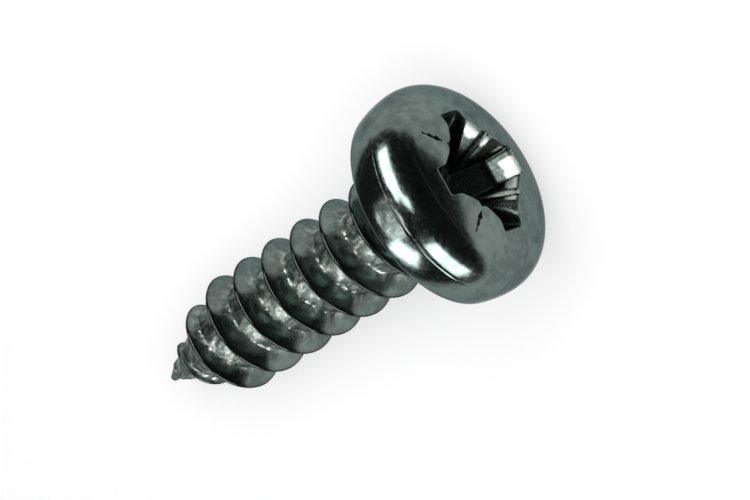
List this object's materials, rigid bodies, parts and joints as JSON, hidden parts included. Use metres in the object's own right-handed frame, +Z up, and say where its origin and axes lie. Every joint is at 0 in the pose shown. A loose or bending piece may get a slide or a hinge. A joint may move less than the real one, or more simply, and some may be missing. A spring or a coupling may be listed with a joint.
{
  "type": "sheet metal screw",
  "caption": "Pan head tapping screw with a cruciform type Z recess and a coarse sharp thread to a cone point, lying on its side.",
  "frame": {"origin": "on the surface that the screw lies on, under the middle of its box", "axes": "+Z up; the screw's axis lies in the XZ plane, point towards -X and head towards +X, head end 9.5 degrees higher"},
  "size_m": [0.0164, 0.0076, 0.0077],
  "materials": {
    "zinc_plated_steel": "bright zinc plating, slightly scuffed, with rough thread roots"
  },
  "bodies": {
    "root": {"screw": "zinc_plated_steel"}
  },
  "joints": []
}
